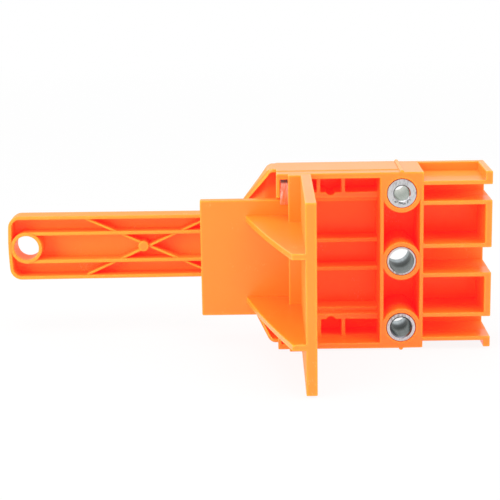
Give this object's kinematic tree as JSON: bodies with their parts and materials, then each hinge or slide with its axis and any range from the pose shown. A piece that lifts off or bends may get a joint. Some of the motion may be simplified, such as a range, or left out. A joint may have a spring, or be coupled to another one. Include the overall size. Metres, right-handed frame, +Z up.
{
  "type": "doweling jig",
  "caption": "Moulded doweling jig with a handle, a sliding edge fence, steel drill guide bushings and open channels that line up with fitted dowels.",
  "frame": {"origin": "axis of the middle guide bore, at the working face of the block", "axes": "+X along the block from the handle to the dowel grid, +Y from the working face into the block along the guide bores, +Z up along the row of bores"},
  "size_m": [0.2024, 0.106, 0.075],
  "materials": {
    "orange_plastic": "satin moulded ABS",
    "bushing_steel": "turned and plated",
    "spring_steel": "bright strip"
  },
  "bodies": {
    "block": {"jig_body": "orange_plastic", "guide_bushing_6": "bushing_steel", "guide_bushing_10": "bushing_steel", "guide_bushing_8": "bushing_steel", "spring_clip_upper": "spring_steel", "spring_clip_lower": "spring_steel"},
    "fence": {"fence_carriage": "orange_plastic"}
  },
  "joints": [
    {"name": "fence_slide", "type": "slide", "parent": "block", "child": "fence", "axis": [1, 0, 0], "range_m": [-0.005, 0.0275]}
  ]
}
